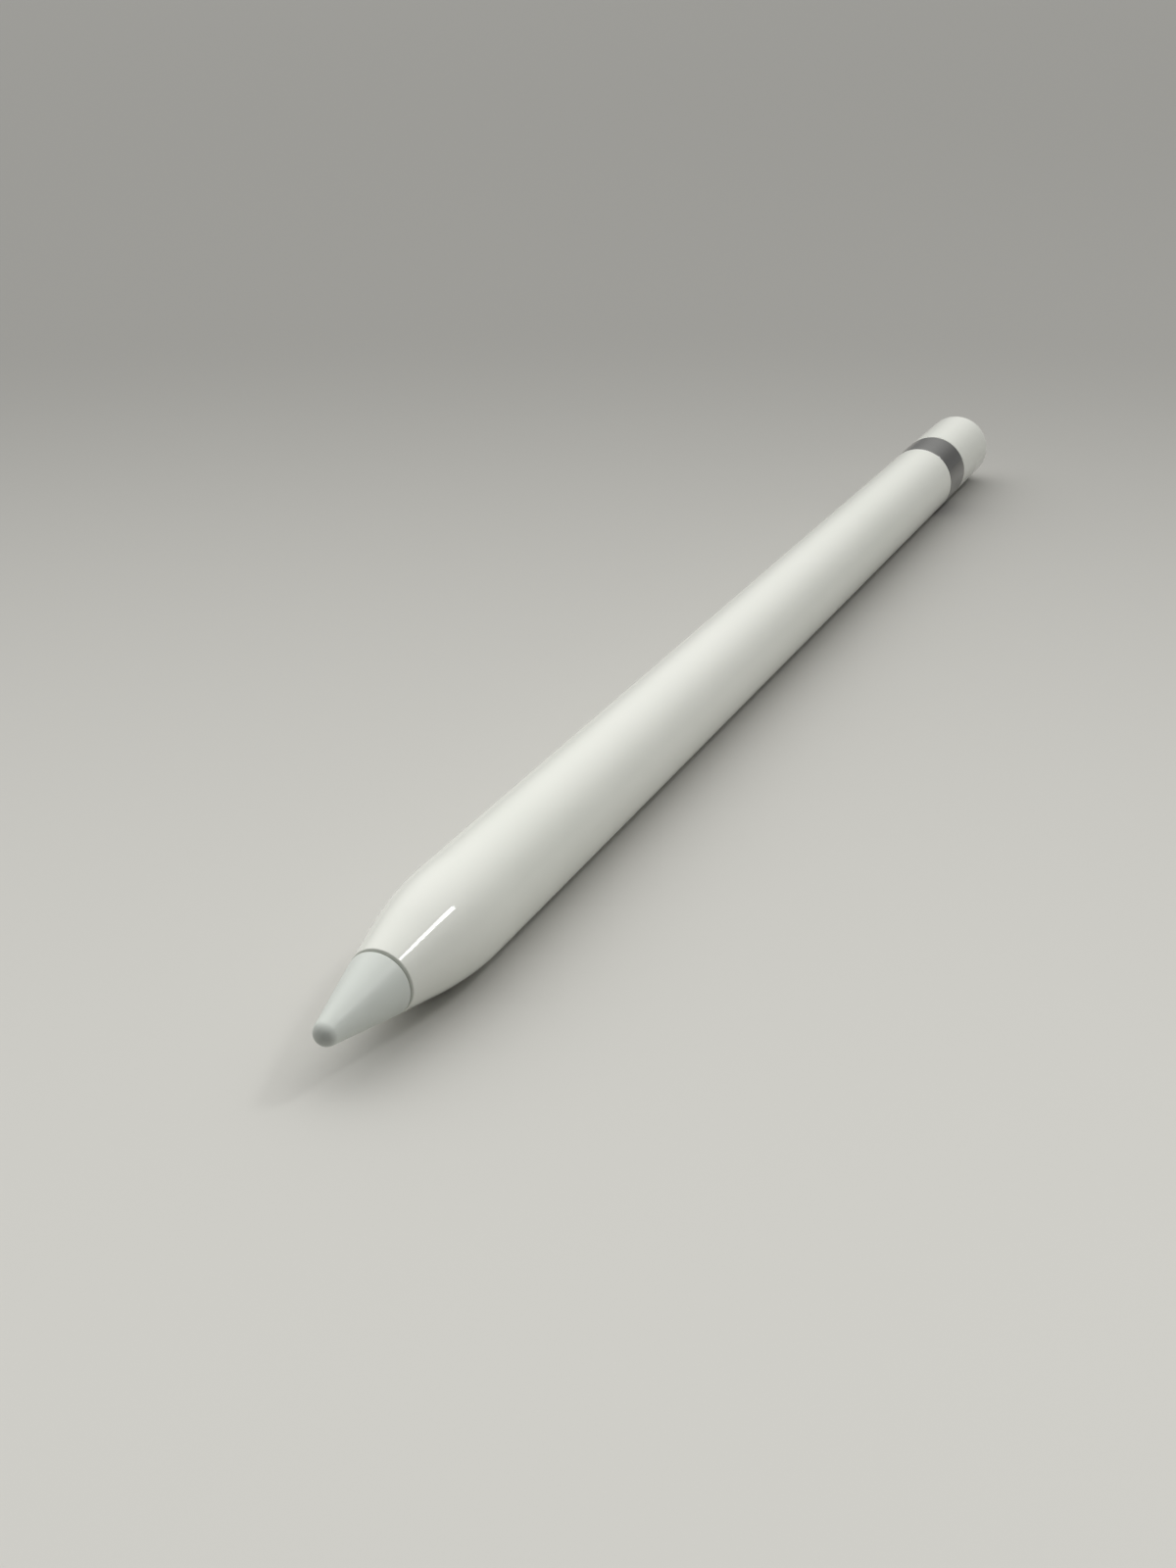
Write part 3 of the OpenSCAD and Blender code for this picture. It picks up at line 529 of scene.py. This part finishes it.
# plug tongue: flat bar with round sides and nose, a window on each face and a catch notch on each side
plugTongue = {
    "width": 6.65, "thickness": 1.5, "noseRound": 0.34, "edge": 0.04, "around": 48, "noseSteps": 5,
    "windowFrom": 0.9, "windowLength": 4.6, "windowWidth": 5.0, "windowDepth": 0.3, "windowCorner": 0.5,
    "windowRim": 0.12, "notchFrom": 3.4, "notchHalf": 0.6, "notchDepth": 0.25, "notchSlices": 9,
    "sideShare": 0.25,  # where the rounding counts as side, as a share of its radius
}
tongueStart, tongueEnd = endsOf("plug_shell")
tongueTop = plugTongue["thickness"] / 2
windowMid = tongueEnd - plugTongue["windowFrom"] - plugTongue["windowLength"] / 2
halfLength = plugTongue["windowLength"] / 2
halfWidth = plugTongue["windowWidth"] / 2
bm = bmesh.new()
addPlate(bm, plugTongue["width"], plugTongue["thickness"], tongueTop, tongueStart, tongueEnd,
         plugTongue["around"])
layAlongX = Matrix(((0, 0, 1), (1, 0, 0), (0, 1, 0))).to_4x4()
bmesh.ops.transform(bm, verts=bm.verts, matrix=layAlongX)
nose = [e for e in bm.edges if all(abs(v.co.x - tongueEnd) < weldReach for v in e.verts)]
bmesh.ops.bevel(bm, geom=nose, offset=plugTongue["noseRound"], offset_type="OFFSET", affect="EDGES",
                segments=plugTongue["noseSteps"], profile=0.5, material=-1)

flatEdge = plugTongue["width"] / 2 - tongueTop
sideFrom = flatEdge + tongueTop * plugTongue["sideShare"]
for y in (-sideFrom, sideFrom):
    sliceFaces(bm, bm.faces, (0, y, 0), (0, 1, 0))
for reach in (-halfLength - plugTongue["windowRim"], halfLength + plugTongue["windowRim"]):
    sliceFaces(bm, bm.faces, (windowMid + reach, 0, 0), (1, 0, 0))
notchAt = tongueEnd - plugTongue["notchFrom"]
notchHalf = plugTongue["notchHalf"]
slices = plugTongue["notchSlices"]
for step in range(-slices, slices + 1):
    sides = [f for f in bm.faces if abs(f.calc_center_median().y) > sideFrom]
    sliceFaces(bm, sides, (notchAt + notchHalf * step / slices, 0, 0), (1, 0, 0))
for vert in bm.verts:
    off = abs(vert.co.x - notchAt)
    bulge = (abs(vert.co.y) - flatEdge) / tongueTop  # 0 where the flat ends and 1 at the side's middle
    if off < notchHalf and bulge > 0:
        dip = plugTongue["notchDepth"] * (1 + math.cos(math.pi * off / notchHalf)) / 2
        vert.co.y -= math.copysign(dip * bulge, vert.co.y)
for side in (-1, 1):
    lidAt = Vector((windowMid, 0, side * tongueTop))
    lid = min(bm.faces, key=lambda f: (f.calc_center_median() - lidAt).length)
    border = lid.edges[:]
    bmesh.ops.delete(bm, geom=[lid], context="FACES_ONLY")
    rim = addOutline(bm, plugTongue["windowLength"], plugTongue["windowWidth"], plugTongue["windowCorner"],
                     side * tongueTop)
    bmesh.ops.translate(bm, verts=rim, vec=(windowMid, 0, 0))
    rimEdges = list({e for v in rim for e in v.link_edges})
    bmesh.ops.triangle_fill(bm, use_beauty=True, edges=border + rimEdges)
    sunk = bmesh.ops.extrude_edge_only(bm, edges=rimEdges)["geom"]
    bmesh.ops.translate(bm, verts=[v for v in sunk if isinstance(v, bmesh.types.BMVert)],
                        vec=(0, 0, -side * plugTongue["windowDepth"]))
    sunkEdges = [e for e in sunk if isinstance(e, bmesh.types.BMEdge)]
    bmesh.ops.edgeloop_fill(bm, edges=[e for e in sunkEdges if e.is_boundary])
softenEdges(bm, plugTongue["edge"])
makePiece("plugTongue", bm, finishOf["plug_steel"], "barrel", "plug_steel", "plug_shell")

# bed and contacts, once for each face of the tongue
plugFace = {
    "bedRoom": 0.05, "bedCorner": 0.45, "bedEdge": 0.02,
    "contacts": 8, "contactWidth": 0.38, "contactLength": 3.8, "contactThickness": 0.05,
    "contactCorner": 0.14, "contactAround": 16, "contactEdge": 0.012,
}
contactFoot = tongueTop - plugFace["contactThickness"]
bed = bmesh.new()
contacts = bmesh.new()
for side in (0, 1):
    over = Matrix.Rotation(math.pi * side, 3, "X")
    verts = addPlate(bed, 2 * (halfLength - plugFace["bedRoom"]), 2 * (halfWidth - plugFace["bedRoom"]),
                     plugFace["bedCorner"], tongueTop - plugTongue["windowDepth"], contactFoot)
    bmesh.ops.translate(bed, verts=verts, vec=(windowMid, 0, 0))
    bmesh.ops.rotate(bed, verts=verts, cent=(0, 0, 0), matrix=over)
    for count in range(plugFace["contacts"]):
        y = (count - (plugFace["contacts"] - 1) / 2) * plugTongue["windowWidth"] / plugFace["contacts"]
        verts = addPlate(contacts, plugFace["contactLength"], plugFace["contactWidth"],
                         plugFace["contactCorner"], contactFoot, tongueTop, plugFace["contactAround"])
        bmesh.ops.translate(contacts, verts=verts, vec=(windowMid, y, 0))
        bmesh.ops.rotate(contacts, verts=verts, cent=(0, 0, 0), matrix=over)
softenEdges(bed, plugFace["bedEdge"])
softenEdges(contacts, plugFace["contactEdge"])
makePiece("contactBed", bed, finishOf["plug_grey"], "barrel", "plug_grey", "plug_bed")
makePiece("contactPads", contacts, finishOf["contact_gold"], "barrel", "contact_gold", "plug_contacts")

# inside of the cap: retaining ring, ring magnet and the cup that the plug goes into
capInside = {"radius": 3.85, "mouth": 3.505, "floor": 0.6, "edge": 0.08, "around": 96}


def turnedInCap(path):
    return turned(path, capInside["around"], capInside["edge"])


def capTube(node):
    return turnedInCap(tubePath(capInside["radius"], capInside["mouth"], *endsOf(node)))


linerStart, linerEnd = endsOf("cap_liner")
floorAt = linerEnd - capInside["floor"]
bm = turnedInCap([
    (linerStart, capInside["mouth"]), (linerStart, capInside["radius"]), (linerEnd, capInside["radius"]),
    (linerEnd, 0), (floorAt, 0), (floorAt, capInside["mouth"]), (linerStart, capInside["mouth"]),
])
makePiece("capCup", bm, finishOf["inner_white"], "cap", "inner_white", "cap_liner")
magnet = capTube("cap_magnet")
makePiece("ringMagnet", magnet, finishOf["magnet_nickel"], "cap_magnet", "magnet_nickel", "cap_magnet")
makePiece("capRing", capTube("cap_retainer"), ringSteel, "cap", "ring_metal", "cap_retainer")

# sensor disc: the rim sits in the barrel, the hub goes with the stem, and the arms between the slots are left
# without a body
sensorDisc = {
    "radius": 2.85, "slotFrom": 1.55, "slotTo": 1.85, "slotDegrees": 80, "arms": 3, "edge": 0.03,
    "rimAround": 96, "hubAround": 72, "armSteps": 10, "armCuts": 6,
}
springSteel = finishOf["spring_steel"]
discStart, discEnd = endsOf("sensor_flexure")
slotFrom = sensorDisc["slotFrom"]
slotTo = sensorDisc["slotTo"]
rimPath = tubePath(sensorDisc["radius"], slotTo, discStart, discEnd)
bm = turned(rimPath, sensorDisc["rimAround"], sensorDisc["edge"])
makePiece("discRim", bm, springSteel, "barrel", "spring_steel", "sensor_flexure")
hubPath = [(discStart, 0), (discStart, slotFrom), (discEnd, slotFrom), (discEnd, 0)]
bm = turned(hubPath, sensorDisc["hubAround"], sensorDisc["edge"])
makePiece("discHub", bm, springSteel, "stem", "spring_steel", "sensor_flexure")
armDegrees = 360 / sensorDisc["arms"] - sensorDisc["slotDegrees"]
for count in range(sensorDisc["arms"]):
    bm = bmesh.new()
    drawProfile(bm, tubePath(slotTo, slotFrom, discStart, discEnd))
    bmesh.ops.remove_doubles(bm, verts=bm.verts, dist=weldReach)
    bmesh.ops.edgeloop_fill(bm, edges=bm.edges[:])
    outwards = [e for e in bm.edges if abs(e.verts[0].co.z - e.verts[1].co.z) > weldReach]
    bmesh.ops.subdivide_edges(bm, edges=outwards, cuts=sensorDisc["armCuts"], use_grid_fill=True)
    armStart = math.radians(sensorDisc["slotDegrees"] + count * 360 / sensorDisc["arms"])
    bmesh.ops.rotate(bm, verts=bm.verts, cent=(0, 0, 0), matrix=Matrix.Rotation(armStart, 3, "X"))
    bmesh.ops.spin(bm, geom=bm.verts[:] + bm.edges[:] + bm.faces[:], cent=(0, 0, 0), axis=(1, 0, 0),
                   angle=math.radians(armDegrees), steps=sensorDisc["armSteps"])
    arm = makePiece(f"discArm{count + 1}", bm, springSteel, None, "spring_steel", "sensor_flexure")
    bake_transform(arm)

# pieces that keep their shape and take a finish
keptFinish = {
    "nib_core": "carbon_black", "nose_bush": "inner_white", "tilt_ring": "copper", "sensor_cup": "stem_steel",
    "gauge_board": "board_green", "sensor_flex": "lead_amber",
    "antenna_carrier": "inner_white", "antenna_film": "copper", "inner_frame": "frame_steel",
    "lower_board": "board_green", "upper_board": "board_green", "board_fold": "lead_amber",
    "board_spacers": "chip_black", "processor_chip": "chip_black", "radio_chip": "chip_black",
    "motion_chip": "chip_black", "power_chip": "chip_black", "capacitors": "capacitor_tan",
    "battery_board": "board_green", "battery_cell": "cell_foil", "battery_tab": "nickel",
    "charge_flex": "lead_amber", "plug_carrier": "plug_white", "plug_board": "board_green",
}
for name, slot in keptFinish.items():
    for materialSlot in nodes[name].material_slots:
        materialSlot.material = finishOf[slot]
print("inside pieces made")


# sets a lamp or a camera at a place, with its right and its top turned as given
def stand(thing, place, right, up):
    turn = Matrix((right, up, right.cross(up))).transposed().to_4x4()
    thing.matrix_world = Matrix.Translation(place) @ turn


# strip lamp: narrow, and reaching from one direction to the other as seen from the spot that it lights
stripLamp = {
    "from": (0.38, -0.49, 0.785), "to": (0.563, -0.439, 0.700), "distance": 0.5, "width": 0.056,
    "watts": 0.26, "colour": (1, 1, 0.99), "litBehindNose": 3, "litHeight": 2.5,
}
litSpot = placeInFrame + Vector((noseAt + stripLamp["litBehindNose"], 0, stripLamp["litHeight"])) * mm
stripStart, stripEnd = (litSpot + Vector(stripLamp[end]).normalized() * stripLamp["distance"]
                        for end in ("from", "to"))
stripAt = (stripStart + stripEnd) / 2
back = (stripAt - litSpot).normalized()
along = stripEnd - stripStart
across = (along - back * back.dot(along)).normalized()
light = bpy.data.lights.new("stripLamp", "AREA")
light.shape = "RECTANGLE"
light.size = along.length
light.size_y = stripLamp["width"]
light.energy = stripLamp["watts"]
light.color = stripLamp["colour"]
strip = bpy.data.objects.new("stripLamp", light)
bpy.context.scene.collection.objects.link(strip)
strip.visible_camera = False
stand(strip, stripAt, across, back.cross(across))


def combine(tree, operation, first, second):
    node = addNode(tree, "ShaderNodeMath", operation=operation)
    tree.links.new(first, node.inputs[0])
    tree.links.new(second, node.inputs[1])
    return node.outputs["Value"]


# a level that changes between two values as the sky turns towards a direction
def skyLevel(tree, sky, direction, low, high, start, end):
    facing = addNode(tree, "ShaderNodeVectorMath", operation="DOT_PRODUCT")
    facing.inputs[1].default_value = Vector(direction).normalized()
    tree.links.new(sky, facing.inputs[0])
    return spread(tree, facing.outputs["Value"], low, high, start, end, "SMOOTHSTEP")


# room: a wide soft glow from above the far side, and shade behind the camera
roomLight = {
    "towards": (0.12, 0.22, 0.96), "low": 0.26, "high": 1.80, "from": 0.22, "to": 0.95, "backdrop": 0.31,
    "shadeTowards": (-0.85, -0.34, 0.40), "shadeLeft": 0.06, "shadeFrom": 0.30, "shadeTo": 0.86,
    "colour": (1.0, 0.998, 0.975),
}
world = bpy.data.worlds.new("room")
world.use_nodes = True
tree = world.node_tree
room = tree.nodes["Background"]
sky = addNode(tree, "ShaderNodeTexCoord").outputs["Generated"]
glow, backdrop = (skyLevel(tree, sky, roomLight["towards"], roomLight[low], roomLight["high"],
                           roomLight["from"], roomLight["to"]) for low in ("low", "backdrop"))
shade = skyLevel(tree, sky, roomLight["shadeTowards"], 1, roomLight["shadeLeft"],
                 roomLight["shadeFrom"], roomLight["shadeTo"])
rays = addNode(tree, "ShaderNodeLightPath").outputs
seen = combine(tree, "MAXIMUM", rays["Is Camera Ray"], rays["Is Glossy Ray"])
seen = combine(tree, "MAXIMUM", seen, rays["Is Transmission Ray"])
# the shade dims what falls on surfaces, and isn't seen itself
level = addNode(tree, "ShaderNodeMix", data_type="FLOAT")
tree.links.new(seen, level.inputs["Factor"])
tree.links.new(combine(tree, "MULTIPLY", glow, shade), level.inputs["A"])
tree.links.new(backdrop, level.inputs["B"])
tree.links.new(level.outputs["Result"], room.inputs["Strength"])
room.inputs["Color"].default_value = (*roomLight["colour"], 1)
bpy.context.scene.world = world

# floor: pale on the camera's side and greyer farther off; the grey farther off is painted shade
floorLook = {
    "radius": 40.0, "segments": 64, "pale": (206, 205, 201), "far": (152, 151, 148),
    "paleSpot": (-0.25, -0.10, 0), "paleTo": 0.15, "farFrom": 0.46, "rough": 0.85, "specular": 0.2,
}
floorMesh = bpy.data.meshes.new("floor")
bm = bmesh.new()
bmesh.ops.create_circle(bm, cap_ends=True, segments=floorLook["segments"], radius=floorLook["radius"])
bm.to_mesh(floorMesh)
bm.free()
floorMaterial = bpy.data.materials.new("floorPaper")
floorMaterial.use_nodes = True
tree = floorMaterial.node_tree
paper = tree.nodes["Principled BSDF"]
ground = addNode(tree, "ShaderNodeTexCoord").outputs["Object"]
reach = addNode(tree, "ShaderNodeVectorMath", operation="DISTANCE")
tree.links.new(ground, reach.inputs[0])
reach.inputs[1].default_value = floorLook["paleSpot"]
# painted shade: the floor's colour greys with distance from the pale spot
paintedShadeAway = spread(tree, reach.outputs["Value"], 0, 1, floorLook["paleTo"], floorLook["farFrom"], "SMOOTHSTEP")
tree.links.new(mixColours(tree, paintedShadeAway, floorLook["pale"], floorLook["far"]), paper.inputs["Base Color"])
paper.inputs["Roughness"].default_value = floorLook["rough"]
paper.inputs["Specular IOR Level"].default_value = floorLook["specular"]
floorMesh.materials.append(floorMaterial)
floor = bpy.data.objects.new("floor", floorMesh)
bpy.context.scene.collection.objects.link(floor)
print("light and floor made")

# camera where the photograph was taken from
viewpoint = {
    "at": (-0.17917, -0.06160, 0.07393), "right": (0.41355, -0.91049, 0), "up": (0.38250, 0.17374, 0.90748),
    "lens": 43.04, "sensor": 36, "clipStart": 0.005, "clipEnd": 50,
}
lens = bpy.data.cameras.new("camera")
lens.lens = viewpoint["lens"]
lens.sensor_width = viewpoint["sensor"]
lens.sensor_fit = "AUTO"
lens.clip_start = viewpoint["clipStart"]
lens.clip_end = viewpoint["clipEnd"]
camera = bpy.data.objects.new("camera", lens)
bpy.context.scene.collection.objects.link(camera)
stand(camera, *(Vector(viewpoint[key]) for key in ("at", "right", "up")))
bpy.context.scene.camera = camera
bpy.context.scene.view_settings.view_transform = "Standard"
